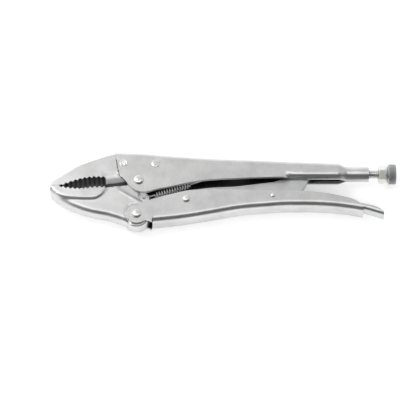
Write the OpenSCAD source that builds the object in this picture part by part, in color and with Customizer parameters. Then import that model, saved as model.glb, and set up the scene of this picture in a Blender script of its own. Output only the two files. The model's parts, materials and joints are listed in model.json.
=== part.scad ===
// Locking pliers with oval serrated jaws, a wire cutter, a toggle link and a release lever.
// The tool lies flat on its side: X runs from the jaw tips to the knob, Y across the handles, Z through it.
// Every piece is drawn round the main jaw pivot at mid thickness, and place() then moves it into the frame.

/* [Overall] */
// Distance from the main pivot to the jaw tips
jaw_reach = 76.2; // [66:0.1:92]
// Distance from the main pivot to the end of the rolled tube
tube_end = 200; // [190:1:240]
// Outside width of both handles
handle_w = 18.5; // [16:0.1:24]
// Thickness of the handle sheet
sheet_t = 2.6; // [1.8:0.1:3.2]

/* [Linkage] */
// Lower pivot, along the tool from the main pivot
lower_x = -1.3; // [-4:0.1:2]
// Lower pivot, below the main pivot
lower_drop = 32.8; // [30:0.1:36]
// Link pivot, along the tool from the main pivot
link_x = 41.2; // [38:0.1:48]
// Link pivot, below the main pivot
link_drop = 18.6; // [17:0.1:20]
// Release lever pivot, along the tool from the main pivot
lever_x = 116.2; // [110:0.1:120]
// Release lever pivot, below the main pivot
lever_drop = 14.9; // [14:0.1:16]

/* [Jaws] */
// Radius of the hubs round the main pivot
hub_r = 9.8; // [8:0.1:12]
// Side clearance of a moving hub between two walls
side_gap = 0.3; // [0.2:0.05:0.6]
// Thickness of the lower jaw's body behind its pad
body_t = 14.8; // [13.6:0.1:16]
// Spacing of the jaw teeth
tooth_pitch = 3.8; // [3:0.1:5]
// Depth of the jaw teeth
tooth_depth = 1.9; // [1:0.1:2.4]
// Thickness of the toggle link
link_t = 7; // [5:0.1:8]
// Sheet thickness of the release lever
lever_t = 1.8; // [1.2:0.1:2]

/* [Rivets] */
// Shank radius of the main pivot rivet
pivot_r = 3.6; // [3:0.1:4.2]
// Shank radius of the lower pivot rivet
lower_r = 3.4; // [2.8:0.1:4]
// Shank radius of the link rivet
link_r = 2.8; // [2.2:0.1:3.2]
// Shank radius of the two upper jaw rivets
jaw_rivet_r = 2.6; // [2:0.1:3]
// Shank radius of the release lever rivet
lever_r = 1.5; // [1.2:0.1:2]
// How much wider a rivet head is than its shank
head_lip = 1; // [0.4:0.1:1.6]
// Height of the domed heads
dome_h = 2; // [1:0.1:3]
// Height of the flat heads underneath
flat_h = 1.2; // [0.8:0.1:2]
// Radial clearance of a rivet in its hole
pin_gap = 0.05; // [0.02:0.01:0.1]

/* [Screw] */
// Thread diameter of the adjusting screw
screw_d = 8; // [6:0.1:10]
// Height of the screw axis above the main pivot
screw_y = 10.2; // [9:0.1:11]
// Outside diameter of the rolled tube
tube_d = 13.1; // [12:0.1:15]
// Length of the rolled tube
tube_l = 20; // [14:1:26]
// Knob diameter
knob_d = 17.5; // [14:0.1:19]
// Knob length
knob_l = 8; // [5:0.1:10]
// Lock nut across flats
nut_af = 14; // [12:0.1:16]
// Lock nut thickness
nut_t = 6.2; // [4:0.1:8]
// Gap from the tube to the lock nut
nut_back = 8.6; // [4:0.1:12]
// Gap from the lock nut to the knob
nut_front = 1; // [0.6:0.1:5]
// Gap between the screw's tip and the link's nose
tip_gap = 2.4; // [2.2:0.1:4]

/* [Spring] */
// Outside radius of the spring
spring_r = 2.8; // [2:0.1:3]
// Length of the spring's coil
coil_l = 34; // [20:1:40]
// Spring wire thickness
wire_d = 1; // [0.8:0.1:1.2]

/* [Hidden] */
$fn = 48;

// Half thicknesses, measured from the middle of the tool
half_w = handle_w / 2;
half_in = half_w - sheet_t;
half_hub = half_in - side_gap;
half_body = body_t / 2;
half_link = link_t / 2;

// Pivots
lower_p = [lower_x, -lower_drop];
link_p = [link_x, -link_drop];
lever_p = [lever_x, -lever_drop];
front_rivet_p = [-13, 16.7];
rear_rivet_p = [14.7, 16];

// Rivet and boss radii
ear_r = 8.8;
lobe_r = 11.2;
link_boss_r = 6.5;

// Oval mouth of the jaws, and the cutter between it and the pivot
tip = -jaw_reach;
mouth_x0 = tip + 7.2;
mouth_x1 = -28.4;
mouth_l = mouth_x1 - mouth_x0;
teeth = floor(mouth_l / tooth_pitch);
close_y = -5.1;
close_gap = 0.1;
function mating_y(s) = close_y + s * close_gap / 2;
cut_y = 1;
cut_slope = 8.4;
cut_gap = 0.9;

// Upper handle, seen from the side: ridge of its back from the cheeks to the tube, which it curls into
tube_r = tube_d / 2;
tube_x = tube_end - tube_l;
cheek_x = -20.7;
cheek_edge = [[-16.4, 4.6], [-14, 2.7]];
cheek_gap = 0.15;
curl_l = 50;
curl_x = tube_x - curl_l;
shoulder_x = tube_x - 7;
back_line = [[cheek_x, 28.5], [-2.4, 27.9], [44, 23.9], [88, 21.7], [shoulder_x, screw_y + 7.8],
             [tube_x + 2, screw_y + tube_r]];
roll_y = 3;
roll_gap = 0.3;

// Lower handle, seen from the side: outer line of its back, and where it ends
belly_end = 194;
belly_line = [[12.4, -40.3], [44.6, -36], [64, -32.5], [87.1, -27.4], [105.3, -26.1], [132.4, -23.9],
              [166, -25], [belly_end, -29.6]];

// Release lever: outer line of its back, inside the lower handle and then past its end
lever_out = half_in - side_gap;
lever_end = 212;
lever_lift = sheet_t + 0.4;
lever_line = [[113, -25.2 + lever_lift], [132.4, -23.9 + lever_lift], [166, -25 + lever_lift],
              [belly_end, -29.6 + lever_lift], [lever_end, -34.9 + lever_lift]];

// Toggle link nose, which bears on the screw
nose_p = [147.2, 9];
nose_r = 3.4;

// Screw
tip_x = nose_p[0] + nose_r + tip_gap;
nut_x = tube_end + nut_back;
knob_x = nut_x + nut_t + nut_front;
screw_r = screw_d / 2;
shank_r = screw_r - 1;
thread_gap = 0.05;

// Spring: hooked in the lower jaw's lug and in the tongue of the upper handle
lug_p = [4.8, -13.8];
lug_r = 4.4;
lug_t = 3.2;
lug_hole_r = 1.5;
anchor_p = [76.7, 14.2];
tongue_t = 2;
hook_r = 2.9;
tongue_w = 7;
window_l = 11;

// Frame: the middle of the tool's own box, standing on the flat rivet heads
mid_x = (knob_x + knob_l - jaw_reach) / 2;
mid_y = (back_line[0][1] + lower_p[1] - lobe_r) / 2;
mid_z = half_w + flat_h;

module place() translate([-mid_x, -mid_y, mid_z]) children();

// A flat plate between two heights, measured from the middle of the tool
module slab(low, high) translate([0, 0, low]) linear_extrude(high - low) children();

module at(p) translate([p[0], p[1], 0]) children();

// A plain through hole for a rivet of this radius
module rivet_hole(p, r) at(p) translate([0, 0, -40]) cylinder(r = r + pin_gap, h = 80);

function reversed(line) = [for (i = [len(line) - 1 : -1 : 0]) line[i]];

// The space between the walls of a channel: line is the outside of its back, s is 1 where it opens to +Y
module between_walls(line, t, half, s) {
    a = line[0];
    b = line[len(line) - 1];
    slab(-half, half) polygon(concat(
        [a + [-60, -60 * s], a + [0, -60 * s]],
        [for (p = line) p + [0, s * t]],
        [b + [9, s * t], b + [9, 90 * s], a + [-60, 90 * s]]));
}

// ---- Upper handle ----

module upper_side() {
    polygon(concat(
        cheek_edge,
        [[-8.3, -4.6], [-3.5, -8.7], [1, -11.2], [7.1, -11.5], [15.2, -9.1], [27.3, -6.4], [44, -2.4],
         [59.4, 0.3], [88, 1.9], [curl_x, roll_y], [tube_x + 2, roll_y + 0.8]],
        reversed(back_line)));
}

// Seen from above, the channel narrows to the tube; inset is the distance inside its outer faces
module upper_plan(inset) {
    rotate([90, 0, 0]) translate([0, 0, -60]) linear_extrude(120) polygon([
        [cheek_x - 70, inset - half_w], [shoulder_x, inset - half_w], [tube_x, inset - tube_r],
        [tube_x + 2, inset - tube_r], [tube_x + 2, tube_r - inset], [tube_x, tube_r - inset],
        [shoulder_x, half_w - inset], [cheek_x - 70, half_w - inset]]);
}

// Between curl_x and the tube both walls turn in at the bottom and leave a slot for the toggle link
module rolled_edges() {
    slot = half_link + roll_gap;
    for (s = [-1, 1])
        slab(s > 0 ? slot : -half_w, s > 0 ? half_w : -slot)
            polygon([[curl_x, roll_y - 2], [tube_x + 3, roll_y - 2], [tube_x + 3, roll_y + sheet_t + 0.4],
                     [curl_x, roll_y + sheet_t]]);
}

module upper_handle() place() color("silver") difference() {
    union() {
        difference() {
            intersection() {
                slab(-half_w, half_w) upper_side();
                upper_plan(0);
            }
            difference() {
                intersection() {
                    between_walls(back_line, sheet_t, half_in, -1);
                    upper_plan(sheet_t);
                }
                rolled_edges();
            }
        }
        translate([tube_x, screw_y, 0]) rotate([0, 90, 0]) cylinder(r = tube_r, h = tube_l);
        spring_tongue();
    }
    translate([curl_x, screw_y, 0]) rotate([0, 90, 0])
        cylinder(r = screw_r + thread_gap, h = tube_end - curl_x + 1);
    translate([anchor_p[0] + tongue_t / 2, anchor_p[1] + 1, -tongue_w / 2]) cube([window_l, 20, tongue_w]);
    rivet_hole([0, 0], pivot_r);
    rivet_hole(front_rivet_p, jaw_rivet_r);
    rivet_hole(rear_rivet_p, jaw_rivet_r);
}

// Tongue lanced out of the back and bent inward, with the hole for the spring's hook
module spring_tongue() {
    difference() {
        translate([anchor_p[0] - tongue_t / 2, anchor_p[1] - 3.4, -tongue_w / 2])
            cube([tongue_t, 10, tongue_w]);
        translate([anchor_p[0] - 3, anchor_p[1], 0]) rotate([0, 90, 0]) cylinder(r = lug_hole_r, h = 6);
    }
}

// ---- Jaws ----

// Depth of a notch of the oval mouth at a share u of its length, in the upper and the lower jaw
function upper_bite(u) = 9 * sin(110 * u);
function lower_bite(u) = 4.4 * sqrt(max(0, 1 - pow((u - 0.55) / 0.6, 2)));

// Toothed edge from left to right: a tooth's tip and a notch in turn, s is 1 for the upper jaw
function toothed(s) = [for (i = [0 : 2 * teeth])
    let (u = i / (2 * teeth), bite = s > 0 ? upper_bite(u) : lower_bite(u))
        [mouth_x0 + u * mouth_l, mating_y(s) + s * max(0, bite - (i % 2 == 0 ? tooth_depth : 0))]];

// Top of the tang, just under the handle's back
tang_top = back_line[0][1] - sheet_t - 0.2;

// Back edge of the jaw's full thickness, just clear of the handle's cheeks
jaw_back = [cheek_edge[1] + [-1.35, 0.9], cheek_edge[0] + [-2 * cheek_gap, 0.1],
            [cheek_x + 0.7 - cheek_gap, 24.6]];

module upper_jaw_side() {
    polygon(concat(
        [[tip, mating_y(1)]], toothed(1),
        jaw_back,
        [[-23.8, 25.2], [-47.8, 16.1], [-52.9, 13.7], [tip + 1.4, -1.6], [tip, -3.4]]));
}

module upper_jaw_tang() {
    difference() {
        polygon([[-30, 6], [-30, 18], [-20.2, tang_top], [-2.4, tang_top - 0.6], [22, tang_top - 2.7],
                 [22, 11], [8, 6], [-9.5, 4.4], [-15, 4.4]]);
        circle(hub_r + 0.5);
    }
}

// Bevel that runs from the near and far faces to a cutting edge at mid thickness
module cutter(y, slope, depth, half, l) {
    translate([mouth_x1, y, 0]) rotate([0, 0, slope]) rotate([90, 0, 90]) linear_extrude(l)
        polygon([[0, -0.25], [0, 0.25], [depth, half], [depth, -half]]);
}

module upper_jaw() place() color("silver") difference() {
    union() {
        slab(-half_w, half_w) upper_jaw_side();
        slab(-half_in + 0.05, half_in - 0.05) upper_jaw_tang();
        intersection() {
            cutter(cut_y, cut_slope, 2.9, half_w, 16);
            slab(-half_w, half_w) polygon(concat([[-40, 10], [-40, -20], [jaw_back[0][0], -20]], jaw_back));
        }
    }
    rivet_hole(front_rivet_p, jaw_rivet_r);
    rivet_hole(rear_rivet_p, jaw_rivet_r);
}

module lower_pad() {
    polygon(concat(
        [[tip, mating_y(-1)]], toothed(-1),
        [[-29.7, -9.8], [-32.9, -13.4], [-38.1, -16.6], [-55.1, -16.1], [tip + 10.4, -14.7],
         [tip + 4.4, -12.4], [tip, -9.8]]));
}

module lower_body() {
    difference() {
        polygon([[tip, -9], [-30, -9], [-28.6, -7.4], [-17.5, -6.6], [-16, -8.7], [-0.2, -19],
                 [-0.4, -22.2], [-6, -24.2], [-6, -38], [-9.3, -38.4], [-12.6, -38.8], [-16.8, -37],
                 [-27.9, -33.3], [-39.4, -31], [-48.7, -28.2], [tip + 17.3, -23.8],
                 [tip + 7.2, -17.2], [tip, -12]]);
        at(lower_p) circle(ear_r + 0.6);
    }
}

module lower_hub() {
    difference() {
        union() {
            circle(hub_r);
            at(lower_p) circle(lobe_r);
            polygon([[-18, -6], [-9.7, -1], [9.7, -1], [6.2, -9], [9.6, -27], [9.8, -33], [-12.4, -33],
                     [-18, -20]]);
        }
        at(lug_p) circle(lug_r + 0.6);
    }
}

module spring_lug() {
    difference() {
        union() {
            at(lug_p) circle(lug_r);
            polygon([lug_p + [-8, 5], lug_p + [0, lug_r], lug_p + [0, -lug_r], lug_p + [-8, -8]]);
        }
        at(lug_p) circle(lug_hole_r);
    }
}

module lower_jaw() place() color("silver") difference() {
    union() {
        slab(-half_w, half_w) lower_pad();
        slab(-half_body, half_body) lower_body();
        slab(-half_hub, half_hub) lower_hub();
        slab(-lug_t / 2, lug_t / 2) spring_lug();
        mirror([0, 1, 0]) cutter(-cut_y + cut_gap, -cut_slope, 7.6, half_body, 18);
    }
    rivet_hole([0, 0], pivot_r);
    rivet_hole(lower_p, lower_r);
}

// ---- Lower handle and release lever ----

module lower_side() {
    polygon(concat(
        [lower_p + [-2.7, 8.1], [9.1, -19.9], [27.3, -14.3], [42.6, -10.2], [61.4, -9.3], [105.3, -10],
         [141.7, -10.8], [160.2, -12.4], [175.1, -15.9], [185.1, -18.4], [189.2, -20.5],
         [belly_end, -24.5]],
        reversed(belly_line),
        [[8.6, -38.6], lower_p + [3, -7.9]]));
}

module lower_handle() place() color("silver") difference() {
    union() {
        slab(-half_w, half_w) lower_side();
        slab(-half_w, half_w) at(lower_p) circle(ear_r);
    }
    between_walls(belly_line, sheet_t, half_in, 1);
    rivet_hole(lower_p, lower_r);
    rivet_hole(link_p, link_r);
    rivet_hole(lever_p, lever_r);
}

module lever_side() {
    polygon(concat(
        [lever_p + [-2, 3], lever_p + [2, 3.5], [141, -12.8], [160, -15.5], [175, -18.8],
         [lever_end - 20.4, -21], [lever_end - 12.4, -22.9], [lever_end - 5.4, -25.1],
         [lever_end - 1.8, -28], lever_line[4] + [0, 0.8]],
        reversed(lever_line)));
}

module release_lever() place() color("silver") difference() {
    union() {
        slab(-lever_out, lever_out) lever_side();
        slab(-lever_out, lever_out) at(lever_p) circle(4.2);
    }
    between_walls(lever_line, lever_t, lever_out - lever_t, 1);
    rivet_hole(lever_p, lever_r);
}

// ---- Toggle link ----

module link_side() {
    polygon([link_p + [1.5, 6.1], [68, -5.8], [118, 0.9], nose_p + [-3.6, 2.4], nose_p + [-0.6, 3.1],
             nose_p + [3.1, -0.9], [141.3, -7.1], [135.6, -15.4], [133, -16.4], [129, -15.8],
             [122, -12.6], [100, -12.6], [60, -19.4], link_p + [0.8, -6.2]]);
}

module toggle_link() place() color("darkgray") difference() {
    union() {
        slab(-half_link, half_link) link_side();
        slab(-half_link, half_link) at(link_p) circle(link_boss_r);
        slab(-half_link, half_link) at(nose_p) circle(nose_r);
    }
    rivet_hole(link_p, link_r);
}

module spacer(s) place() color("gray") difference() {
    at(link_p) translate([0, 0, s > 0 ? half_link + 0.05 : -half_in + 0.05])
        cylinder(r = link_r + 2.2, h = half_in - half_link - 0.1);
    rivet_hole(link_p, link_r);
}

module link_spacer_near() spacer(1);

module link_spacer_far() spacer(-1);

// ---- Rivets ----

// Part of a sphere, with a flat base of radius r
module dome(r, h) {
    ball = (r * r + h * h) / (2 * h);
    intersection() {
        translate([0, 0, h - ball]) sphere(ball);
        cylinder(r = r + 1, h = h + 1);
    }
}

// A shank through both walls, a flat head underneath and a domed head on top
module rivet(p, r, lip, h) place() color("gainsboro") at(p) {
    translate([0, 0, -half_w]) cylinder(r = r, h = handle_w);
    translate([0, 0, -half_w - flat_h]) cylinder(r = r + lip, h = flat_h);
    translate([0, 0, half_w]) dome(r + lip, h);
}

module jaw_pivot_rivet() rivet([0, 0], pivot_r, head_lip, dome_h);

module lower_pivot_rivet() rivet(lower_p, lower_r, head_lip, dome_h);

module link_rivet() rivet(link_p, link_r, 0.8 * head_lip, dome_h);

module release_lever_rivet() rivet(lever_p, lever_r, 0.6 * head_lip, 0.5 * dome_h);

module upper_jaw_rivet_front() rivet(front_rivet_p, jaw_rivet_r, head_lip, 0.2 * dome_h);

module upper_jaw_rivet_rear() rivet(rear_rivet_p, jaw_rivet_r, head_lip, 0.35 * dome_h);

// ---- Adjusting screw ----

module along_screw(x) place() translate([x, screw_y, 0]) rotate([0, 90, 0]) children();

module adjusting_screw() color("silver") along_screw(tip_x) {
    cylinder(r1 = screw_r - 1.5, r2 = screw_r, h = 1.5);
    translate([0, 0, 1.5]) cylinder(r = screw_r, h = knob_x - tip_x - 1.5);
    translate([0, 0, knob_x - tip_x]) cylinder(r = shank_r, h = knob_l - 2);
}

module adjusting_knob() color("silver") along_screw(knob_x) difference() {
    rotate_extrude() polygon([[0, 0], [knob_d / 2 - 2, 0], [knob_d / 2, 2], [knob_d / 2, knob_l - 0.8],
                              [knob_d / 2 - 0.8, knob_l], [0, knob_l]]);
    translate([0, 0, -1]) cylinder(r = shank_r + thread_gap, h = knob_l - 0.9);
}

module lock_nut() color("lightgray") along_screw(nut_x) difference() {
    intersection() {
        cylinder(r = nut_af / 2 / cos(30), h = nut_t, $fn = 6);
        rotate_extrude() polygon([[0, 0], [nut_af / 2 - 0.2, 0], [nut_af / 2 + 1.4, 1.2],
                                  [nut_af / 2 + 1.4, nut_t - 1.2], [nut_af / 2 - 0.2, nut_t], [0, nut_t]]);
    }
    translate([0, 0, -1]) cylinder(r = screw_r + thread_gap, h = nut_t + 2);
}

// ---- Opening spring ----

module wire_ring() rotate_extrude() translate([hook_r, 0]) circle(wire_d / 2);

module opening_spring() place() color("dimgray") {
    end_p = anchor_p - [0, hook_r];
    d = end_p - lug_p;
    l = norm(d);
    at(lug_p) rotate([0, 0, atan2(d[1], d[0])]) {
        translate([hook_r, 0, 0]) rotate([90, 0, 0]) wire_ring();
        translate([2 * hook_r, 0, 0]) rotate([0, 90, 0]) cylinder(r = wire_d / 2, h = 4);
        translate([2 * hook_r + 3, 0, 0]) rotate([0, 90, 0]) difference() {
            cylinder(r = spring_r, h = coil_l);
            translate([0, 0, wire_d]) cylinder(r = spring_r - wire_d, h = coil_l - 2 * wire_d);
        }
        translate([2 * hook_r + coil_l + 2.5, 0, 0]) rotate([0, 90, 0])
            cylinder(r = wire_d / 2, h = l - 3 * hook_r - coil_l - 2.5);
    }
    at(end_p) wire_ring();
}

upper_handle();
upper_jaw();
upper_jaw_rivet_front();
upper_jaw_rivet_rear();
jaw_pivot_rivet();
lower_jaw();
lower_pivot_rivet();
lower_handle();
link_rivet();
link_spacer_near();
link_spacer_far();
toggle_link();
release_lever();
release_lever_rivet();
adjusting_screw();
adjusting_knob();
lock_nut();
opening_spring();
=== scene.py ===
import json
import math

import bmesh
import bpy
import numpy as np
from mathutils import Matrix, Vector
from mathutils.geometry import delaunay_2d_cdt


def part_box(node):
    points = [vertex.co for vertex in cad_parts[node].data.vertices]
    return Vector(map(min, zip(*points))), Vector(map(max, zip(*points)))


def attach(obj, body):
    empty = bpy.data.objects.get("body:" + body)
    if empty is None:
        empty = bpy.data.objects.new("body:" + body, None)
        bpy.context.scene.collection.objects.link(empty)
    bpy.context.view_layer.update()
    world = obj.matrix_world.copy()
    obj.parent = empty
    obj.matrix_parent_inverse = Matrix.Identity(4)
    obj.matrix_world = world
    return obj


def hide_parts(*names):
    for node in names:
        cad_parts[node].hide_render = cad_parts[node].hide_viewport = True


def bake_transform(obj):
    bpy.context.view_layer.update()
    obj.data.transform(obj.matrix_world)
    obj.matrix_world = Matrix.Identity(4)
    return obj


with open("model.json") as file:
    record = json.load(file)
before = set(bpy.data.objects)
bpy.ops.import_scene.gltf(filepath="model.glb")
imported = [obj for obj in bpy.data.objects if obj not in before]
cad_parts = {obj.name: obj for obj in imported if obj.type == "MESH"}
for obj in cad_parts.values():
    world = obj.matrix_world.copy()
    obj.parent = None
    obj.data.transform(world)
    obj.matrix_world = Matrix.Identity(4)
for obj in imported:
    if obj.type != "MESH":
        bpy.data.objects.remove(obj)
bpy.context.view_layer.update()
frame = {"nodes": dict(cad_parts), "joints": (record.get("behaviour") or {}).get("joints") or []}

# ---------------------------------------------------------------------------------------------
# Places and sizes taken from the frame. Shapes are drawn in millimetres round the main pivot:
# x towards the knob, y towards the upper handle, z through the tool from its middle.
# ---------------------------------------------------------------------------------------------
MM = 0.001


def joint_point(name):
    return Vector(next(j["pos_m"] for j in frame["joints"] if j["name"] == name))


def size_mm(node, axis):
    low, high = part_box(node)
    return (high[axis] - low[axis]) / MM


def place_mm(node, axis, end):
    """Lowest (end 0) or highest (end 1) coordinate of a node, in mm from the main pivot."""
    return (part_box(node)[end][axis] - ORIGIN[axis]) / MM


HANDLE_LOW, HANDLE_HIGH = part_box("upper_handle")
MIDDLE_Z = (HANDLE_LOW[2] + HANDLE_HIGH[2]) / 2
PIVOT = joint_point("jaw_pivot")
ORIGIN = Vector((PIVOT.x, PIVOT.y, MIDDLE_Z))


def from_pivot(name):
    p = (joint_point(name) - ORIGIN) / MM
    return np.array([p.x, p.y])


LOWER_P = from_pivot("handle_pivot")
HALF_W = size_mm("lower_handle", 2) / 2
HALF_LEVER = size_mm("release_lever", 2) / 2
SHEET_T = 2.6
LEVER_T = 1.8
BEND_R = 5
LEVER_BEND_R = 4
JAW_TIP = place_mm("upper_jaw", 0, 0)
TUBE_END = place_mm("upper_handle", 0, 1)
SCREW_Y = (place_mm("adjusting_screw", 1, 0) + place_mm("adjusting_screw", 1, 1)) / 2
SCREW_R = size_mm("adjusting_screw", 1) / 2
FLAT_H = -place_mm("jaw_pivot_rivet", 2, 0) - HALF_W
DOME_H = place_mm("jaw_pivot_rivet", 2, 1) - HALF_W
HUB_R = 9.8
EAR_R = 8.8
LOBE_R = 11.2


# ---------------------------------------------------------------------------------------------
# Curves and meshes
# ---------------------------------------------------------------------------------------------
def smoothstep(x, a, b):
    t = np.clip((np.asarray(x, float) - a) / (b - a), 0, 1)
    return t * t * (3 - 2 * t)


def through(points):
    """A function y(x) that runs smoothly through the points without overshooting them."""
    x, y = np.array(points, float).T
    step = np.diff(y) / np.diff(x)
    slope = np.concatenate([[step[0]], (step[:-1] + step[1:]) / 2, [step[-1]]])
    for i in range(1, len(x) - 1):
        if step[i - 1] * step[i] <= 0:
            slope[i] = 0

    def value(at):
        at = np.clip(at, x[0], x[-1])
        i = np.clip(np.searchsorted(x, at) - 1, 0, len(x) - 2)
        h = x[i + 1] - x[i]
        t = (at - x[i]) / h
        a = (1 + 2 * t) * (1 - t) ** 2 * y[i] + t * (1 - t) ** 2 * h * slope[i]
        return a + t * t * (3 - 2 * t) * y[i + 1] + t * t * (t - 1) * h * slope[i + 1]

    return value


def rounded(points, step=0.8):
    """Points along a smooth open curve through the given ones (Catmull-Rom), about a step apart."""
    p = np.array(points, float)
    p = np.vstack([2 * p[0] - p[1], p, 2 * p[-1] - p[-2]])
    out = []
    for i in range(1, len(p) - 2):
        count = max(2, int(np.linalg.norm(p[i + 1] - p[i]) / step))
        for k in range(count):
            t = k / count
            a = 2 * p[i] + (p[i + 1] - p[i - 1]) * t
            b = (2 * p[i - 1] - 5 * p[i] + 4 * p[i + 1] - p[i + 2]) * t * t
            c = (3 * p[i] - p[i - 1] - 3 * p[i + 1] + p[i + 2]) * t ** 3
            out.append((a + b + c) / 2)
    out.append(p[-2])
    return out


def straight(points, step=0.8):
    """Points along straight runs between the given ones, about a step apart."""
    out = []
    for a, b in zip(points[:-1], points[1:]):
        a, b = np.array(a, float), np.array(b, float)
        count = max(1, int(np.linalg.norm(b - a) / step))
        out += [a + (b - a) * k / count for k in range(count)]
    out.append(np.array(points[-1], float))
    return out


def arc(centre, radius, start, end, step=0.7):
    count = max(3, int(abs(math.radians(end - start)) * radius / step))
    angles = np.radians(np.linspace(start, end, count + 1))
    return [np.array(centre) + radius * np.array([math.cos(a), math.sin(a)]) for a in angles]


def distance(points, line):
    """Distance of each point to a polyline."""
    p = np.asarray(points, float)
    best = np.full(len(p), 1e9)
    for a, b in zip(line[:-1], line[1:]):
        a, b = np.asarray(a, float), np.asarray(b, float)
        ab = b - a
        t = np.clip(((p - a) @ ab) / max(ab @ ab, 1e-9), 0, 1)
        best = np.minimum(best, np.linalg.norm(p - a - t[:, None] * ab, axis=1))
    return best


def inside(points, outline):
    p = np.asarray(points, float)
    result = np.zeros(len(p), bool)
    a = np.asarray(outline, float)
    b = np.roll(a, -1, axis=0)
    for (x1, y1), (x2, y2) in zip(a, b):
        crosses = (y1 > p[:, 1]) != (y2 > p[:, 1])
        if y1 != y2:
            at = (x2 - x1) * (p[:, 1] - y1) / (y2 - y1) + x1
            result ^= crosses & (p[:, 0] < at)
    return result


def finish_mesh(mesh, sharp_angle=38):
    """Shades smooth, with sharp edges where the surface turns by more than the angle."""
    bm = bmesh.new()
    bm.from_mesh(mesh)
    bmesh.ops.remove_doubles(bm, verts=bm.verts, dist=1e-7)
    bmesh.ops.delete(bm, geom=[v for v in bm.verts if not v.link_faces], context="VERTS")
    bmesh.ops.recalc_face_normals(bm, faces=bm.faces)
    for f in bm.faces:
        f.smooth = True
    for e in bm.edges:
        if len(e.link_faces) == 2:
            e.smooth = e.calc_face_angle(0) < math.radians(sharp_angle)
    bm.to_mesh(mesh)
    bm.free()


def piece(name, points_mm, faces, body, material, node=None, slot=None, sharp_angle=38, other=None):
    """A finished mesh object from points in mm round the main pivot, riding on a body.

    other is a list of (material, face numbers) for the faces that do not have the main finish.
    """
    mesh = bpy.data.meshes.new(name)
    mesh.from_pydata([ORIGIN + Vector(p) * MM for p in points_mm], [], faces)
    for i, (_, numbers) in enumerate(other or []):
        for f in numbers:
            mesh.polygons[f].material_index = i + 1
    finish_mesh(mesh, sharp_angle)
    obj = bpy.data.objects.new(name, mesh)
    bpy.context.scene.collection.objects.link(obj)
    for finish in [material] + [m for m, _ in other or []]:
        mesh.materials.append(finish)
    if body:
        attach(obj, body)
    if node:
        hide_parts(node)
    return obj


def soften(obj, width_mm, segments=2, angle=35):
    bevel = obj.modifiers.new("edge_radius", "BEVEL")
    bevel.width = width_mm * MM
    bevel.segments = segments
    bevel.limit_method = "ANGLE"
    bevel.angle_limit = math.radians(angle)
    bevel.harden_normals = True
    return bevel


def grid_faces(rows, cols, start=0, closed=False):
    """Quads of a grid of points stored row by row; closed joins the last column to the first."""
    faces = []
    for i in range(rows - 1):
        for j in range(cols if closed else cols - 1):
            k = (j + 1) % cols
            a, b = start + i * cols, start + (i + 1) * cols
            faces.append((a + j, a + k, b + k, b + j))
    return faces


def turned(profile, segments=48):
    """Points and faces of a solid turned about Z from (radius, height) points, first and last on the axis."""
    points = []
    for r, z in profile[1:-1]:
        for k in range(segments):
            a = 2 * math.pi * k / segments
            points.append((r * math.cos(a), r * math.sin(a), z))
    rows = len(profile) - 2
    faces = grid_faces(rows, segments, 0, True)
    for end, row in ((profile[0], 0), (profile[-1], rows - 1)):
        points.append((0, 0, end[1]))
        tip = len(points) - 1
        for k in range(segments):
            faces.append((row * segments + k, row * segments + (k + 1) % segments, tip))
    return points, faces


# ---------------------------------------------------------------------------------------------
# Materials
# ---------------------------------------------------------------------------------------------
def plated_steel(name, base, roughness, grain, grain_depth, streak=(1, 1, 1), metallic=1.0, mottle=0.06):
    """Plated steel: grain or brushing in tone, gloss and bump, stretched by streak, and a cloudy tone."""
    mat = bpy.data.materials.new(name)
    mat.use_nodes = True
    nodes, links = mat.node_tree.nodes, mat.node_tree.links
    shader = nodes["Principled BSDF"]
    shader.inputs["Metallic"].default_value = metallic
    shader.inputs["IOR"].default_value = 2.2
    coords = nodes.new("ShaderNodeTexCoord")
    stretch = nodes.new("ShaderNodeMapping")
    stretch.inputs["Scale"].default_value = streak
    links.new(coords.outputs["Object"], stretch.inputs["Vector"])

    def noise(scale, detail, rough, vector):
        n = nodes.new("ShaderNodeTexNoise")
        n.inputs["Scale"].default_value = scale
        n.inputs["Detail"].default_value = detail
        n.inputs["Roughness"].default_value = rough
        links.new(vector, n.inputs["Vector"])
        return n.outputs["Fac"]

    def spread(value, low, high):
        r = nodes.new("ShaderNodeMapRange")
        r.inputs["From Min"].default_value = 0.3
        r.inputs["From Max"].default_value = 0.7
        r.inputs["To Min"].default_value = low
        r.inputs["To Max"].default_value = high
        links.new(value, r.inputs["Value"])
        return r.outputs["Result"]

    cloud = noise(55, 5, 0.6, coords.outputs["Object"])
    brushing = noise(grain, 3, 0.7, stretch.outputs["Vector"])
    ramp = nodes.new("ShaderNodeValToRGB")
    dark = [c * (1 - mottle) for c in base]
    light = [min(1, c * (1 + 0.6 * mottle)) for c in base]
    ramp.color_ramp.elements[0].position = 0.35
    ramp.color_ramp.elements[0].color = (*dark, 1)
    ramp.color_ramp.elements[1].position = 0.65
    ramp.color_ramp.elements[1].color = (*light, 1)
    links.new(cloud, ramp.inputs["Fac"])
    tone = nodes.new("ShaderNodeMix")
    tone.data_type = "RGBA"
    tone.blend_type = "MULTIPLY"
    tone.inputs["Factor"].default_value = 0.5
    links.new(ramp.outputs["Color"], tone.inputs["A"])
    fine = nodes.new("ShaderNodeValToRGB")
    fine.color_ramp.elements[0].position = 0.3
    fine.color_ramp.elements[0].color = (0.86, 0.86, 0.87, 1)
    fine.color_ramp.elements[1].position = 0.7
    fine.color_ramp.elements[1].color = (1, 1, 1, 1)
    links.new(brushing, fine.inputs["Fac"])
    links.new(fine.outputs["Color"], tone.inputs["B"])
    links.new(tone.outputs["Result"], shader.inputs["Base Color"])
    links.new(spread(brushing, roughness * 0.85, roughness * 1.15), shader.inputs["Roughness"])
    bump = nodes.new("ShaderNodeBump")
    bump.inputs["Strength"].default_value = 0.5
    bump.inputs["Distance"].default_value = grain_depth * MM
    links.new(brushing, bump.inputs["Height"])
    links.new(bump.outputs["Normal"], shader.inputs["Normal"])
    return mat


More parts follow.
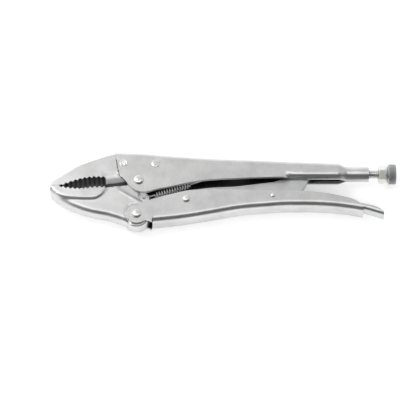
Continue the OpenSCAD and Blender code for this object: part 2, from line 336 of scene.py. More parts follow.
handle_metal = plated_steel("satin_nickel_sheet", (0.70, 0.70, 0.695), 0.34, 900, 0.05, (1, 0.25, 1),
                            mottle=0.1)
jaw_metal = plated_steel("plated_forging", (0.70, 0.70, 0.695), 0.36, 1400, 0.09, mottle=0.09)
rivet_metal = plated_steel("bright_rivet", (0.80, 0.80, 0.78), 0.26, 700, 0.02)
link_metal = plated_steel("dull_link_plate", (0.58, 0.59, 0.58), 0.44, 900, 0.06, (0.3, 1, 1), mottle=0.12)
lever_metal = plated_steel("satin_lever_sheet", (0.67, 0.68, 0.67), 0.32, 900, 0.05, (0.25, 1, 1))
screw_metal = plated_steel("zinc_thread", (0.72, 0.72, 0.71), 0.26, 1200, 0.02)
# nickel plating, with painted shade: the knob's base colour is darkened to stand in for the shade of its
# knurling
knob_painted_shade_metal = plated_steel("nickel_knob_painted_shade", (0.44, 0.45, 0.45), 0.3, 900, 0.02)
nut_metal = plated_steel("zinc_nut", (0.84, 0.84, 0.78), 0.42, 800, 0.03, metallic=0.7)
wire_metal = plated_steel("spring_wire", (0.95, 0.95, 0.94), 0.34, 900, 0.01, metallic=0.4)
# painted shade: a near-black finish on the channels' inner faces stands in for the shade inside the channels
painted_shade_inner_metal = plated_steel("inner_sheet_painted_shade", (0.13, 0.13, 0.135), 0.5, 900, 0.05, (1, 0.25, 1), mottle=0.12)
# painted shade: a near-black finish on the teeth walls and the lower cutter's bevel stands in for their shade
# and the dark they reflect
painted_shade_tooth_metal = plated_steel("tooth_steel_painted_shade", (0.08, 0.08, 0.083), 0.45, 1100, 0.06, (1, 1, 0.3), mottle=0.14)
# partly a rough ground finish, partly painted light: a near-white non-metallic finish brightens the upper
# cutter's bevel and the spring's lug beyond the light they get
ground_and_painted_light_metal = plated_steel("ground_cutter_steel_and_painted_light", (0.97, 0.97, 0.96), 0.7, 1500, 0.04, (0.3, 1, 1),
                            metallic=0)

# ---------------------------------------------------------------------------------------------
# Pressed sheet channels
# ---------------------------------------------------------------------------------------------
WALL_COLS, BEND_COLS, BACK_COLS = 9, 7, 5
COLS = 2 * WALL_COLS + 2 * BEND_COLS + BACK_COLS


def channel_path(edge_y, back_y, half, radius):
    """Outside of a U section as (y, z) points: near wall, bend, back, bend, far wall."""
    up = 1 if back_y > edge_y else -1
    turn_y = back_y - up * radius
    if (turn_y - edge_y) * up < 0.2:
        edge_y = turn_y - up * 0.2
    near = [(edge_y + (turn_y - edge_y) * k / WALL_COLS, half) for k in range(WALL_COLS)]
    for k in range(BEND_COLS):
        a = math.pi / 2 * k / BEND_COLS
        near.append((turn_y + up * radius * math.sin(a), half - radius + radius * math.cos(a)))
    flat = half - radius
    back = [(back_y, flat - 2 * flat * k / (BACK_COLS - 1)) for k in range(BACK_COLS)]
    return np.array(near + back + [(y, -z) for y, z in reversed(near)])


def inward(path, thickness):
    """The same path moved inward by the sheet's thickness."""
    tangent = np.gradient(path, axis=0)
    tangent /= np.linalg.norm(tangent, axis=1)[:, None]
    normal = np.stack([tangent[:, 1], -tangent[:, 0]], axis=1)
    if np.mean(np.sum(normal * (path.mean(axis=0) - path), axis=1)) < 0:
        normal = -normal
    return path + normal * thickness


def sheet(stations, outer, inner, first_back_row=0, skip=None):
    """Points, faces and inner face numbers of a bent sheet. Rows before first_back_row are walls only."""
    rows, cols = outer.shape[0], outer.shape[1]
    points = []
    for side in (outer, inner):
        for i, x in enumerate(stations):
            points += [(x, y, z) for y, z in side[i]]
    offset = rows * cols
    wall = WALL_COLS

    def present(i, j):
        """Whether the strip between rows i, i+1 and columns j, j+1 is there."""
        if not (0 <= i < rows - 1 and 0 <= j < cols - 1):
            return False
        if skip and skip(i, j):
            return False
        return i >= first_back_row or j < wall or j >= cols - 1 - wall

    faces, painted_shade_faces = [], []
    for i in range(rows - 1):
        for j in range(cols - 1):
            if not present(i, j):
                continue
            a, b, c, d = i * cols + j, i * cols + j + 1, (i + 1) * cols + j + 1, (i + 1) * cols + j
            faces.append((a, b, c, d))
            # the inner faces are listed to get the painted shade finish
            painted_shade_faces.append(len(faces))
            faces.append((a + offset, d + offset, c + offset, b + offset))
            for p, q, there in ((a, b, present(i - 1, j)), (b, c, present(i, j + 1)),
                                (c, d, present(i + 1, j)), (d, a, present(i, j - 1))):
                if not there:
                    faces.append((q, p, p + offset, q + offset))
    return points, faces, painted_shade_faces


# Upper handle: a channel at the jaws that narrows and curls into the tube for the screw
CHEEK_X = -20.7
ROLL_X0, ROLL_X1 = TUBE_END - 76, TUBE_END - 64
SHOULDER_X, TUBE_X = TUBE_END - 27, TUBE_END - 18.5
ROLL_Y, ROLL_R, SLOT_HALF = 3.05, 4.7, 3.85
TUBE_R = 6.55
upper_edge = through([(CHEEK_X, 28.3), (-20.2, 26), (-16.4, 4.6), (-14, 2.7), (-8.3, -4.6), (-3.5, -8.9),
                      (1, -11.2), (5, -11.6), (9, -11.1), (15.2, -9.1), (27.3, -6.4), (44, -2.4),
                      (59.4, 0.3), (88, 1.9), (110, 2.7), (ROLL_X0, ROLL_Y), (TUBE_END, ROLL_Y)])
upper_back = through([(CHEEK_X, 28.4), (-2.4, 27.9), (20, 26), (44, 23.9), (88, 21.6), (112, 20.4),
                      (SHOULDER_X, 17.8), (TUBE_END, 17)])


def rolled_in(path):
    """The same section with both walls turned in at the bottom, up to the slot for the link."""
    wall = [(ROLL_Y, SLOT_HALF)]
    for a in np.radians(np.linspace(0, 90, WALL_COLS - 2)):
        wall.append((ROLL_Y + ROLL_R * (1 - math.cos(a)), HALF_W - ROLL_R * (1 - math.sin(a))))
    wall.append((ROLL_Y + ROLL_R + 1.6, HALF_W))
    wall = np.array(wall)
    out = path.copy()
    out[:WALL_COLS] = wall
    out[-WALL_COLS:] = wall[::-1] * (1, -1)
    return out


def tube_path(path):
    """The tube's circle, each point at the angle of its own point on the rolled section."""
    angles = np.degrees(np.arctan2(path[:, 0] - SCREW_Y, np.abs(path[:, 1])))
    angles = 90 - (90 - angles) * 179 / (90 - angles[0])
    side = np.where(np.arange(len(path)) <= len(path) // 2, 1, -1)
    angles = np.radians(angles)
    return np.stack([SCREW_Y + TUBE_R * np.sin(angles), side * TUBE_R * np.cos(angles)], axis=1)


def upper_handle_rows(stations):
    outer, inner = [], []
    for x in stations:
        roll = float(smoothstep(x, ROLL_X0, ROLL_X1))
        curl = float(smoothstep(x, SHOULDER_X, TUBE_X))
        path = channel_path(float(upper_edge(x)), float(upper_back(x)), HALF_W, BEND_R)
        rolled = rolled_in(path)
        path = path * (1 - roll) + rolled * roll
        path = path * (1 - curl) + tube_path(rolled) * curl
        outer.append(path)
        inner.append(inward(path, SHEET_T - 0.2 * curl))
    return np.array(outer), np.array(inner)


def build_upper_handle():
    front = [CHEEK_X, -20.2, -19, -17.8, -16.4, -15.2, -14]
    stations = np.concatenate([front, np.linspace(-13, 9, 23), np.linspace(11, SHOULDER_X - 1, 96),
                               np.linspace(SHOULDER_X, TUBE_X, 14), np.linspace(TUBE_X + 2, TUBE_END, 6)])
    outer, inner = upper_handle_rows(stations)
    window = place_mm("opening_spring", 0, 1) - 1, place_mm("opening_spring", 0, 1) + 10
    middle = COLS // 2

    def slot_behind_tongue(i, j):
        return window[0] < stations[i] < window[1] and abs(j + 0.5 - middle) < 2

    points, faces, painted_shade_faces = sheet(stations, outer, inner, skip=slot_behind_tongue)
    obj = piece("handle_upper", points, faces, "frame", handle_metal, "upper_handle", "handle_sheet",
                other=[(painted_shade_inner_metal, painted_shade_faces)])
    soften(obj, 0.35)
    build_tongue(window[0] - 1, float(upper_back(window[0])), place_mm("opening_spring", 1, 1))


def build_tongue(x, root_y, hook_y):
    """The tongue lanced out of the back, bent inward, with a round end and a hole for the spring."""
    half, thick, hole_r = 3.4, 2, 1.4
    low_y = hook_y - 3.2
    outline = [(root_y - 1.5, half)]
    for a in np.radians(np.linspace(0, -180, 15)):
        outline.append((low_y + half + half * math.sin(a), half * math.cos(a)))
    outline.append((root_y - 1.5, -half))
    hole = [(hook_y + 0.2 + hole_r * math.sin(a), hole_r * math.cos(a))
            for a in np.radians(np.linspace(0, 345, 24))]
    plate("spring_tongue", outline, [hole], x - thick / 2, x + thick / 2)


def plate(name, outline, holes, low_x, high_x):
    """A flat plate with holes that stands square to X on the upper handle; outlines are (y, z) points."""
    rings = [outline] + holes
    flat = [Vector(p) for ring in rings for p in ring]
    loops, start = [], 0
    for ring in rings:
        loops.append(list(range(start, start + len(ring))))
        start += len(ring)
    edges = [(a, b) for loop in loops for a, b in zip(loop, loop[1:] + loop[:1])]
    verts, _, tris, _, _, _ = delaunay_2d_cdt(flat, edges, [], 1, 1e-5)
    centres = np.array([np.mean([verts[i] for i in t], axis=0) for t in tris])
    keep = inside(centres, outline)
    for hole in holes:
        keep &= ~inside(centres, hole)
    tris = [t for t, k in zip(tris, keep) if k]
    count = len(verts)
    points = []
    for x in (high_x, low_x):
        points += [(x, v[0], v[1]) for v in verts]
    faces = [tuple(t) for t in tris] + [tuple(i + count for i in reversed(t)) for t in tris]
    faces += [(b, a, a + count, b + count) for a, b in rim_of(tris)]
    soften(piece(name, points, faces, "frame", handle_metal, slot="handle_sheet"), 0.3)


def rim_of(tris):
    """Edges that belong to one triangle only, in that triangle's direction."""
    seen = {(t[k], t[(k + 1) % len(t)]) for t in tris for k in range(len(t))}
    return [(a, b) for a, b in seen if (b, a) not in seen]


build_upper_handle()

# Lower handle: two ears round the lower pivot, then a channel whose back bows towards its end
BACK_X = 12.4
BELLY_END = place_mm("lower_handle", 0, 1)
lower_top = through([(9.1, -19.9), (18, -17), (27.3, -14.3), (42.6, -10.4), (61.4, -9.4), (83, -9.5),
                     (105.3, -10), (141.7, -10.8), (160.2, -12.4), (175.1, -15.6), (183, -17.6),
                     (188.4, -20), (191.5, -22.4), (BELLY_END, -23.6)])
lower_belly = through([(BACK_X, -40.1), (28, -38.4), (44.6, -36), (64, -32.4), (87.1, -28), (105.3, -26.1),
                       (132.4, -24.3), (150, -24.4), (166, -25.2), (182, -27.2), (BELLY_END, -29.4)])


def ear_edges(x):
    """Top and bottom of the near wall in front of the channel's back."""
    dx = x - LOWER_P[0]
    reach = math.sqrt(max(EAR_R ** 2 - dx ** 2, 0.05))
    top, low = LOWER_P[1] + reach, LOWER_P[1] - reach
    tangent_x = LOWER_P[0] - 2.7
    if x > tangent_x:
        t = (x - tangent_x) / (9.1 - tangent_x)
        top = max(LOWER_P[1] + 8.3 + t * (-19.9 - LOWER_P[1] - 8.3), float(lower_top(x)) if x > 9.1 else -99)
    if dx > 4:
        low = min(low, LOWER_P[1] - 7.85 + 1.4 * math.sin(math.pi * (dx - 4) / 10)) if dx < 7 else \
            -38.9 - 1.5 * float(smoothstep(x, 8.5, BACK_X))
    return top, low


def build_lower_handle():
    ear_x = LOWER_P[0] - EAR_R
    front = [ear_x + EAR_R * (1 - math.cos(a)) for a in np.radians(np.linspace(0, 90, 15))]
    stations = front + list(np.linspace(LOWER_P[0] + 1, BACK_X - 0.6, 16))
    first_back_row = len(stations)
    stations = np.array(stations + list(np.linspace(BACK_X, BELLY_END, 120)))
    outer, inner = [], []
    for x in stations:
        if x < BACK_X:
            top, low = ear_edges(x)
            path = channel_path(top, low - BEND_R, HALF_W, BEND_R)
        else:
            path = channel_path(float(lower_top(x)), float(lower_belly(x)), HALF_W, BEND_R)
        outer.append(path)
        inner.append(inward(path, SHEET_T))
    points, faces, painted_shade_faces = sheet(stations, np.array(outer), np.array(inner), first_back_row)
    obj = piece("handle_lower", points, faces, "lower_handle", handle_metal, "lower_handle", "handle_sheet",
                other=[(painted_shade_inner_metal, painted_shade_faces)])
    soften(obj, 0.35)


build_lower_handle()

# Release lever: a narrower channel nested in the lower handle, whose tail sticks out behind
TAIL_END = place_mm("release_lever", 0, 1)
lever_top = through([(112.5, -14), (114.5, -11.9), (121, -11.4), (141, -12.8), (160, -15.5), (175, -18.8),
                     (192, -21), (200, -22.8), (206, -24.7), (209.5, -27), (211.4, -29.6), (TAIL_END, -31)])
lever_back = through([(112.5, -22), (132.4, -20.9), (150, -21.1), (166, -22), (180, -24), (194, -26.6),
                      (203, -29.3), (TAIL_END, -32.3)])


def build_release_lever():
    stations = np.array(list(np.linspace(112.6, 190, 50)) + list(np.linspace(191, TAIL_END, 30)))
    outer = np.array([channel_path(float(lever_top(x)), float(lever_back(x)), HALF_LEVER, LEVER_BEND_R)
                      for x in stations])
    inner = np.array([inward(path, LEVER_T) for path in outer])
    points, faces, painted_shade_faces = sheet(stations, outer, inner)
    obj = piece("lever_release", points, faces, "release_lever", lever_metal, "release_lever", "lever_sheet",
                other=[(painted_shade_inner_metal, painted_shade_faces)])
    soften(obj, 0.25)


build_release_lever()


# ---------------------------------------------------------------------------------------------
# Forged jaws: an outline, and a half thickness at each point of it
# ---------------------------------------------------------------------------------------------
TEETH, TOOTH_DEPTH = 10, 1.9
MOUTH_X0, MOUTH_X1 = -69, -28.4
MOUTH_L = MOUTH_X1 - MOUTH_X0
CLOSE_Y = -5.1
BODY_HALF = 7.4
HUB_HALF = HALF_W - SHEET_T - 0.3
EDGE_HALF = 0.3
LUG_P = np.array([4.8, -13.8])
LUG_R, LUG_HALF = 4.4, 1.6


def bite(u, upper):
    """Depth of a notch of the oval mouth at a share u of its length."""
    if upper:
        return 9 * math.sin(math.radians(110 * u))
    return 4.4 * math.sqrt(max(0, 1 - ((u - 0.55) / 0.6) ** 2))


def toothed(upper, per_tooth=8):
    """The serrated edge from left to right, with slightly rounded tips and notches."""
    sign = 1 if upper else -1
    out = []
    for i in range(TEETH * per_tooth + 1):
        u = i / (TEETH * per_tooth)
        wave = abs(((i / per_tooth) % 1) * 2 - 1)
        wave = float(smoothstep(wave, -0.25, 1.25))
        depth = max(0, bite(u, upper) - TOOTH_DEPTH * wave)
        out.append(np.array([MOUTH_X0 + u * MOUTH_L, CLOSE_Y + sign * (0.05 + depth)]))
    return out


def forging(name, outline, half_height, spacing, mouth, bevel_of, bevel_metal, holes=(), **riding):
    """A solid symmetric about the tool's middle plane; half_height gives z for (x, y) points.

    The teeth along mouth are darkened with painted shade, the faces that bevel_of picks have the finish
    bevel_metal, and the spring's lug is brightened with painted light, a near-white finish.
    """
    rings = (0.35, 0.8, 1.4, 2.1, 3.0)
    edge = np.array(outline)
    low, high = edge.min(axis=0), edge.max(axis=0)
    xs = np.arange(low[0], high[0], spacing)
    ys = np.arange(low[1], high[1], spacing)
    grid = np.array([(x + (i % 2) * spacing / 2, y) for i, y in enumerate(ys) for x in xs])
    grid = grid[inside(grid, edge)]
    loop = np.vstack([edge, edge[:1]])
    grid = grid[distance(grid, loop) > rings[-1] + 0.4 * spacing]
    tangent = np.roll(edge, -1, axis=0) - np.roll(edge, 1, axis=0)
    normal = np.stack([-tangent[:, 1], tangent[:, 0]], axis=1)
    normal /= np.maximum(np.linalg.norm(normal, axis=1), 1e-9)[:, None]
    if not inside([edge[3] + normal[3] * 0.05], edge)[0]:
        normal = -normal
    near = []
    for depth in rings:
        ring = edge + normal * depth
        ring = ring[inside(ring, edge)]
        near.append(ring[distance(ring, loop) > 0.93 * depth])
    free = np.vstack([grid] + near)
    loops, count, flat = [list(range(len(edge)))], len(edge), [tuple(p) for p in edge]
    for hole in holes:
        loops.append(list(range(count, count + len(hole))))
        flat += [tuple(p) for p in hole]
        count += len(hole)
        free = free[~inside(free, hole)]
        free = free[distance(free, list(hole) + [hole[0]]) > 0.3]
    edges = [(a, b) for ring in loops for a, b in zip(ring, ring[1:] + ring[:1])]
    verts, _, tris, _, _, _ = delaunay_2d_cdt([Vector(p) for p in flat + [tuple(p) for p in free]],
                                              edges, [], 1, 1e-4)
    flat_verts = np.array([tuple(v) for v in verts])
    centres = np.array([flat_verts[list(t)].mean(axis=0) for t in tris])
    keep = inside(centres, edge)
    for hole in holes:
        keep &= ~inside(centres, hole)
    tris = [tuple(t) for t, k in zip(tris, keep) if k]
    z = half_height(flat_verts)
    total = len(flat_verts)
    points = [(x, y, h) for (x, y), h in zip(flat_verts, z)]
    points += [(x, y, -h) for x, y, h in points]
    faces = tris + [tuple(i + total for i in reversed(t)) for t in tris]
    rim = rim_of(tris)
    faces += [(b, a, a + total, b + total) for a, b in rim]
    middles = np.array([np.mean([points[i] for i in f], axis=0) for f in faces])
    # the toothed rim faces get the painted shade finish
    toothed_rim = (middles[:, 0] < MOUTH_X1 + 0.2) & (middles[:, 0] > MOUTH_X0) & (abs(middles[:, 1]) < 15)
    toothed_rim &= (np.arange(len(faces)) >= len(faces) - len(rim)) & (distance(middles[:, :2], mouth) < 0.3)
    bevel = (middles[:, 0] > MOUTH_X1) & (middles[:, 0] < -9) & bevel_of(middles)
    # the lug gets painted light: the near-white finish brightens it beyond the light it gets
    lug = np.linalg.norm(middles[:, :2] - LUG_P, axis=1) < LUG_R + 0.2
    marks = [(painted_shade_tooth_metal, np.flatnonzero(toothed_rim)), (bevel_metal, np.flatnonzero(bevel)),
             (ground_and_painted_light_metal, np.flatnonzero(lug))]
    return piece(name, points, faces, other=marks, **riding)


def round_edge(h, d, radius, drop):
    """Lowers a height near an edge, d away from it, as a quarter ellipse."""
    t = np.clip(1 - d / radius, 0, 1)
    return h - drop * (1 - np.sqrt(1 - t ** 2))


UPPER_CUT = [(MOUTH_X1 + 0.2, 1.0), (-10.3, 3.7)]
LOWER_CUT = [(MOUTH_X1 + 0.2, 0.1), (-10.2, 2.8)]
CHEEK_FRONT = [(-20.75, 30), (-16.5, 4.4), (-14, 2.5), (-8.4, -4.8)]
upper_top_edge = rounded([(JAW_TIP, -3.6), (JAW_TIP + 1.5, -1.3), (-64, 6.4), (-52.9, 13.7), (-47.8, 16.2),
                          (-36, 20.9), (-23.8, 25.1), (-20.6, 25.6)])
lower_rim = rounded([(-9.6, -39.8), (-12.8, -38.6), (-18, -36.6), (-27.9, -33.5), (-39.4, -31.1),
                     (-48.7, -28.2), (-58.9, -23.8), (-69, -17.4), (JAW_TIP + 1.2, -12.2), (JAW_TIP, -10.4)])
pad_edge = rounded([(JAW_TIP - 3, -9), (-71.8, -12.6), (-65.8, -14.8), (-55, -16.1), (-39.5, -16.4),
                    (-34.5, -14.4), (-31.2, -11.2), (-29.4, -8.2), (MOUTH_X1, -4)])
RIDGE = [(-16.2, -8.7), (-0.2, -19)]


def line_y(line, x):
    (x1, y1), (x2, y2) = line
    return y1 + (x - x1) * (y2 - y1) / (x2 - x1)


def side_of(points, a, b):
    """Signed distance of the points from the line a to b, positive on its left."""
    a, b = np.array(a, float), np.array(b, float)
    d = (b - a) / np.linalg.norm(b - a)
    rel = points - a
    return d[0] * rel[:, 1] - d[1] * rel[:, 0]


def upper_jaw_height(p):
    x, y = p.T
    h = np.full(len(p), HALF_W)
    # a shallow step down in front of the cheeks, above the cutter
    h = h - 0.35 * smoothstep(x, -31, -29.6) * smoothstep(y, 9, 6) * smoothstep(x, -12, -20)
    front_x = np.interp(y, [pt[1] for pt in reversed(CHEEK_FRONT)], [pt[0] for pt in reversed(CHEEK_FRONT)])
    h = round_edge(h, distance(p, upper_top_edge), 1.5, 1.3)
    # the tang, between the handle's walls
    h = np.where(x > front_x - 0.06, HALF_W - SHEET_T - 0.05, h)
    # the cutter's ground bevel, steep at the edge
    up = np.maximum(0, y - line_y(UPPER_CUT, x))
    bevel = EDGE_HALF + 6.6 * np.minimum(1, up / 0.4) + np.maximum(0, up - 0.4)
    return np.where(x > MOUTH_X1, np.minimum(h, np.maximum(bevel, EDGE_HALF)), h)


def build_upper_jaw():
    hub = arc((0, 0), HUB_R + 0.5, 159, 38)
    tang = straight([hub[-1], (22, 11), (22, 22.8), (-2.4, 25), (-20.6, 25.6)])
    mouth = toothed(True)
    outline = (straight([(JAW_TIP, CLOSE_Y + 0.05), mouth[0]])[:-1] + mouth
               + straight([mouth[-1], (MOUTH_X1 + 0.15, 1.2), *UPPER_CUT], 0.6)[1:] + hub[1:] + tang[1:]
               + list(reversed(upper_top_edge))[1:])
    # the upper cutter's bevel gets the rough ground finish, brightened with painted light
    forging("jaw_upper", outline, upper_jaw_height, 1.1, mouth,
            lambda m: (m[:, 1] < line_y(UPPER_CUT, m[:, 0]) + 2.6) & (m[:, 1] > 0.6), ground_and_painted_light_metal,
            body="frame", material=jaw_metal, node="upper_jaw", slot="forged_jaw")


def lower_jaw_height(p):
    x, y = p.T
    h = np.full(len(p), BODY_HALF)
    # the pad of the teeth, as thick as the handles
    in_pad = np.where(inside(p, pad_edge + [np.array((MOUTH_X1, 20)), np.array((JAW_TIP - 3, 20))]), 1, -1)
    pad_side = distance(p, pad_edge) * in_pad
    h = h + (HALF_W - BODY_HALF) * smoothstep(pad_side, -2.8, 0.15)
    # the hubs, which go between the handles' walls, behind a raised lip
    hub_side = np.minimum(side_of(p, *RIDGE), side_of(p, (-17.6, -20), (-17.6, -7.2)) * -1)
    h = h + (HUB_HALF - h) * smoothstep(hub_side, -0.3, 1.6)
    from_lower = np.linalg.norm(p - LOWER_P, axis=1)
    h = h + (HUB_HALF - h) * smoothstep(from_lower, EAR_R + 1.5, EAR_R + 0.6)
    h = h + (np.minimum(h, HUB_HALF) - h) * smoothstep(x, -11, -5) * smoothstep(y, -22, -25)
    lip = smoothstep(x, -17, -14) * smoothstep(x, 1, -1) * smoothstep(y, -25, -22)
    h = h + 0.32 * lip * np.exp(-((hub_side + 0.7) / 0.6) ** 2)
    # rounded rims, then the cutter's bevel and the thin lug
    h = round_edge(h, distance(p, lower_rim), 4.5, 5.2)
    lobe = arc(LOWER_P, LOBE_R, -10, -142)
    h = round_edge(h, distance(p, lobe), 1.6, 1.6)
    bevel = EDGE_HALF + np.maximum(0, line_y(LOWER_CUT, x) - y) * 1.02
    cutter = (x > MOUTH_X1) & (x < -9.2)
    h = np.where(cutter, np.minimum(h, bevel), h)
    return np.where(np.linalg.norm(p - LUG_P, axis=1) < LUG_R + 0.65, LUG_HALF, h)


def build_lower_jaw():
    hub = arc((0, 0), HUB_R, 163, -53)
    lug = arc(LUG_P, LUG_R, 62, -66, 0.5)
    lobe = arc(LOWER_P, LOBE_R, -2, -141)
    mouth = toothed(False)
    outline = (straight([(JAW_TIP, CLOSE_Y - 0.05), mouth[0]])[:-1] + mouth
               + straight([mouth[-1], (MOUTH_X1 + 0.15, -0.1), *LOWER_CUT], 0.6)[1:] + hub
               + lug + straight([lug[-1], (9, -23), lobe[0]])[1:] + lobe[1:] + lower_rim[1:]
               + straight([lower_rim[-1], (JAW_TIP, CLOSE_Y - 0.05)])[1:-1])
    hole = arc(LUG_P, 1.5, 0, 345, 0.4)
    # the lower cutter's bevel gets the same painted shade finish as the teeth
    forging("jaw_lower", outline, lower_jaw_height, 1.1, mouth,
            lambda m: (m[:, 1] > line_y(LOWER_CUT, m[:, 0]) - 6.9) & (m[:, 1] < 3), painted_shade_tooth_metal,
            [hole], body="lower_jaw", material=jaw_metal, node="lower_jaw", slot="forged_jaw")


build_upper_jaw()
build_lower_jaw()

# ---------------------------------------------------------------------------------------------
# Rivets
# ---------------------------------------------------------------------------------------------
def rivet(name, node, body, dome, crossed=False):
    """A riveted pin: flat closed head below, shank, and a head whose shape dome(r) gives."""
    low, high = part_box(node)
    centre = [(low[i] + high[i]) / 2 / MM - ORIGIN[i] / MM for i in (0, 1)]
    head_r = (high[0] - low[0]) / 2 / MM
    shank_r = head_r - 0.8
    foot = [(0, -HALF_W - FLAT_H), (head_r - 0.35, -HALF_W - FLAT_H), (head_r, -HALF_W - FLAT_H + 0.35),
            (head_r, -HALF_W), (shank_r, -HALF_W)]
    shares = (0.985, 0.95, 0.88, 0.78, 0.66, 0.54, 0.4, 0.27, 0.14, 0.06, 0)
    crown = [(head_r * t, HALF_W + dome(t)) for t in shares]
    profile = foot + [(shank_r, HALF_W), (head_r, HALF_W + 0.02)] + crown
    points, faces = turned(profile)
    if crossed:
        points = [(x, y, z - cross_mark(x, y, head_r) * (z > HALF_W + 0.05)) for x, y, z in points]
    points = [(x + centre[0], y + centre[1], z) for x, y, z in points]
    return piece(name, points, faces, body, rivet_metal, node, "rivet", sharp_angle=50)


def cross_mark(x, y, head_r):
    """Depth of the cross that the setting punch leaves in a flush rivet."""
    arm = math.exp(-(min(abs(x), abs(y)) / 0.4) ** 2)
    return 0.2 * arm * (math.hypot(x, y) < 0.6 * head_r)


def domed(height, flatness=2.2):
    return lambda t: height * max(0, 1 - t ** flatness) ** (1 / flatness)


def ringed(height):
    """A flush rivet: a rounded rim, a ring groove and a low middle."""
    return lambda t: height * (0.35 + 0.65 * max(0, math.cos((t - 0.8) * 9)) ** 2 * (t > 0.62)
                               + 0.5 * max(0, 1 - (t / 0.42) ** 2)) * min(1, (1 - t) * 14 + 0.02)


rivet("rivet_jaw_pivot", "jaw_pivot_rivet", "frame", domed(DOME_H - 0.02))
rivet("rivet_lower_pivot", "lower_pivot_rivet", "lower_handle", domed(DOME_H - 0.02))
rivet("rivet_link", "link_rivet", "lower_handle", domed(DOME_H - 0.02, 2.0))
rivet("rivet_release_lever", "release_lever_rivet", "lower_handle", domed(DOME_H / 2 - 0.02, 2.0))
rivet("rivet_upper_jaw_front", "upper_jaw_rivet_front", "frame", ringed(0.38), crossed=True)
rivet("rivet_upper_jaw_rear", "upper_jaw_rivet_rear", "frame", domed(0.65, 2.6))


# ---------------------------------------------------------------------------------------------
# Adjusting screw, knob and spring
# ---------------------------------------------------------------------------------------------
def along_screw(name, xs, radius_at, segments, body, material, node, slot):
    """A solid turned about the screw's axis whose radius may vary with the angle too."""
    points = []
    for x in xs:
        for k in range(segments):
            a = 2 * math.pi * k / segments
            r = radius_at(x, a)
            points.append((x, SCREW_Y + r * math.sin(a), r * math.cos(a)))
    faces = grid_faces(len(xs), segments, 0, True)
    faces.append(tuple(range(segments)))
    faces.append(tuple(reversed(range((len(xs) - 1) * segments, len(xs) * segments))))
    return piece(name, points, faces, body, material, node, slot, sharp_angle=60)


THREAD_PITCH = 1.25
KNOB_X0, KNOB_X1 = place_mm("adjusting_knob", 0, 0), place_mm("adjusting_knob", 0, 1)
KNOB_R = size_mm("adjusting_knob", 1) / 2
TIP_X = place_mm("adjusting_screw", 0, 0)


def thread_radius(x, a):
    """A trapezoid thread with a chamfered tip, and a plain shank inside the knob."""
    turn = (x / THREAD_PITCH - a / (2 * math.pi)) % 1
    flank = min(1, max(0, (abs(turn - 0.5) * 2 - 0.12) / 0.7))
    r = SCREW_R - 0.72 * flank
    start = min(1, (x - TIP_X) / 1.5)
    return min(r, SCREW_R - 1.3 * (1 - start)) if x < KNOB_X0 - 0.9 else SCREW_R - 0.9


def knob_radius(x, a):
    """Crossed knurling, with a wide chamfer towards the nut and a small one at the end."""
    depth, lines, lead = 0.5, 30, 1.55
    u = a * lines / (2 * math.pi)
    v = (x - KNOB_X0) / lead
    cross = max(abs(((u + v) % 1) - 0.5), abs(((u - v) % 1) - 0.5)) * 2
    r = KNOB_R - depth * float(smoothstep(cross, 0.55, 1))
    r = min(r, KNOB_R - 2 + (x - KNOB_X0))
    return min(r, KNOB_R - 0.9 + (KNOB_X1 - x) * 1.1)


screw_xs = np.arange(TIP_X, KNOB_X0 + 1.5, THREAD_PITCH / 10)
knob_xs = np.linspace(KNOB_X0, KNOB_X1, 44)
along_screw("screw_thread", screw_xs, thread_radius, 28, "screw", screw_metal,
            "adjusting_screw", "screw_steel")
along_screw("knob_knurled", knob_xs, knob_radius, 272, "knob", knob_painted_shade_metal,
            "adjusting_knob", "knob_steel")


def swept(points, radius, sides=8):
    """Points and faces of a round wire along a path."""
    path = np.array(points, float)
    tangent = np.gradient(path, axis=0)
    tangent /= np.linalg.norm(tangent, axis=1)[:, None]
    up = np.cross(tangent[0], (0.3, 0.2, 1))
    out = []
    for p, t in zip(path, tangent):
        up = up - t * (up @ t)
        up /= np.linalg.norm(up)
        side = np.cross(t, up)
        for k in range(sides):
            a = 2 * math.pi * k / sides
            out.append(tuple(p + radius * (math.cos(a) * up + math.sin(a) * side)))
    faces = grid_faces(len(path), sides, 0, True)
    faces += [tuple(range(sides)), tuple(reversed(range((len(path) - 1) * sides, len(path) * sides)))]
    return out, faces


def build_spring():
    wire_r, coil_r, hook_r, pitch = 0.5, 2.25, 2.9, 2.2
    low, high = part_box("opening_spring")
    end = np.array([(high[0] - ORIGIN.x) / MM - hook_r - wire_r, (high[1] - ORIGIN.y) / MM - hook_r - wire_r])
    along = end - LUG_P
    length = np.linalg.norm(along)
    along /= length
    axis = np.array([along[0], along[1], 0])
    across = np.array([-along[1], along[0], 0])
    start = np.array([*LUG_P, 0])
    z = np.array([0, 0, 1])

    def local(s, u, w):
        return start + axis * s + across * u + z * w

    path = []
    for a in np.radians(np.linspace(-150, 165, 24)):
        path.append(local(hook_r - hook_r * math.cos(a), 0, hook_r * math.sin(a)))
    path += [local(s, 0.1, 0.4) for s in np.linspace(2 * hook_r + 0.8, 2 * hook_r + 2.4, 3)]
    coil_start, coil_end = 2 * hook_r + 3.5, 2 * hook_r + 36.5
    turns = int((coil_end - coil_start) / pitch)
    per_turn = 14
    steps = per_turn * turns
    for k in range(steps + 1):
        a = 2 * math.pi * k / per_turn
        ease = min(1, k / 8, (steps - k) / 8)
        r = 0.4 + (coil_r - 0.4) * ease
        path.append(local(coil_start + (coil_end - coil_start) * k / steps, r * math.sin(a), r * math.cos(a)))
    path += [local(s, 0, 0.2) for s in np.linspace(coil_end + 1.5, length - hook_r - 1.5, 18)]
    for a in np.radians(np.linspace(190, -100, 26)):
        path.append(np.array([end[0] + hook_r * math.cos(a), end[1] + hook_r * math.sin(a), 0]))
    points, faces = swept(path, wire_r)
    obj = piece("spring_opening", points, faces, None, wire_metal, "opening_spring", "spring_wire", 70)
    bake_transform(obj)


build_spring()

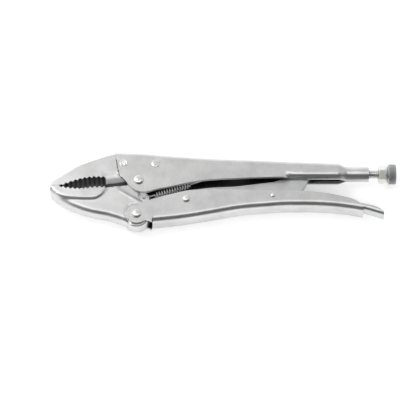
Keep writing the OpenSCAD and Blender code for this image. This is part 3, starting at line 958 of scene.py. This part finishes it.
# ---------------------------------------------------------------------------------------------
# CAD nodes that stay: better edges and finishes
# ---------------------------------------------------------------------------------------------
for node, material, width in (("toggle_link", link_metal, 0.5), ("link_spacer_near", link_metal, 0.3),
                              ("link_spacer_far", link_metal, 0.3), ("lock_nut", nut_metal, 0.25)):
    obj = frame["nodes"][node]
    obj.data.materials.clear()
    obj.data.materials.append(material)
    soften(obj, width)

# ---------------------------------------------------------------------------------------------
# Floor, light and camera
# ---------------------------------------------------------------------------------------------
def pale_floor():
    mesh = bpy.data.meshes.new("floor")
    mesh.from_pydata([(-4, -4, 0), (4, -4, 0), (4, 4, 0), (-4, 4, 0)], [], [(0, 1, 2, 3)])
    floor = bpy.data.objects.new("floor", mesh)
    bpy.context.scene.collection.objects.link(floor)
    mat = bpy.data.materials.new("floor_paper")
    mat.use_nodes = True
    shader = mat.node_tree.nodes["Principled BSDF"]
    shader.inputs["Base Color"].default_value = (0.8, 0.8, 0.8, 1)
    shader.inputs["Roughness"].default_value = 0.9
    shader.inputs["Emission Color"].default_value = (1, 1, 1, 1)
    shader.inputs["Emission Strength"].default_value = 0.4
    mesh.materials.append(mat)


def softbox(name, spot, aim, size, watts):
    light = bpy.data.lights.new(name, "AREA")
    light.shape = "RECTANGLE"
    light.size, light.size_y = size
    light.energy = watts
    obj = bpy.data.objects.new(name, light)
    obj.location = spot
    obj.rotation_euler = (Vector(aim) - Vector(spot)).to_track_quat("-Z", "Y").to_euler()
    bpy.context.scene.collection.objects.link(obj)
    return obj


def studio_world():
    """A bright dome with a dark area low in front, which the rounded edges pick up."""
    world = bpy.data.worlds.new("studio")
    bpy.context.scene.world = world
    world.use_nodes = True
    nodes, links = world.node_tree.nodes, world.node_tree.links
    sky = nodes["Background"]
    coords = nodes.new("ShaderNodeTexCoord")
    towards = nodes.new("ShaderNodeVectorMath")
    towards.operation = "DOT_PRODUCT"
    towards.inputs[1].default_value = Vector((0.3, -0.87, 0.38)).normalized()
    share = nodes.new("ShaderNodeMapRange")
    share.inputs["From Min"].default_value = -1
    ramp = nodes.new("ShaderNodeValToRGB")
    links.new(coords.outputs["Generated"], towards.inputs[0])
    links.new(towards.outputs["Value"], share.inputs["Value"])
    links.new(share.outputs["Result"], ramp.inputs["Fac"])
    stops = ramp.color_ramp.elements
    stops[0].position, stops[0].color = 0.06, (1, 1, 1, 1)
    stops[1].position, stops[1].color = 0.80, (0.1, 0.1, 0.105, 1)
    for position, grey in ((0.30, 0.60), (0.46, 0.50), (0.60, 0.62), (0.68, 0.62)):
        stops.new(position).color = (grey, grey, grey, 1)
    links.new(ramp.outputs["Color"], sky.inputs["Color"])
    sky.inputs["Strength"].default_value = 1.3


pale_floor()
studio_world()
softbox("key", (-0.65, 0.4, 0.95), (0, 0, 0), (0.5, 0.5), 3.6)
softbox("overhead", (0, -0.05, 1.0), (0, 0, 0), (0.7, 0.3), 0.9)
fill = softbox("front_fill", (0.1, -0.9, 1.0), (0, 0, 0), (0.5, 0.5), 7)
fill.visible_glossy = False

ELEVATION = math.radians(62)
CAMERA_DISTANCE = 2.4
aim = Vector((-0.0205, -0.0072, MIDDLE_Z))
camera_data = bpy.data.cameras.new("camera")
camera_data.sensor_width = 36
camera_data.lens = 103.9 * CAMERA_DISTANCE
camera = bpy.data.objects.new("camera", camera_data)
camera.location = aim + CAMERA_DISTANCE * Vector((0, -math.cos(ELEVATION), math.sin(ELEVATION)))
camera.rotation_euler = (aim - camera.location).to_track_quat("-Z", "Y").to_euler()
bpy.context.scene.collection.objects.link(camera)
bpy.context.scene.camera = camera
bpy.context.scene.view_settings.view_transform = "Standard"
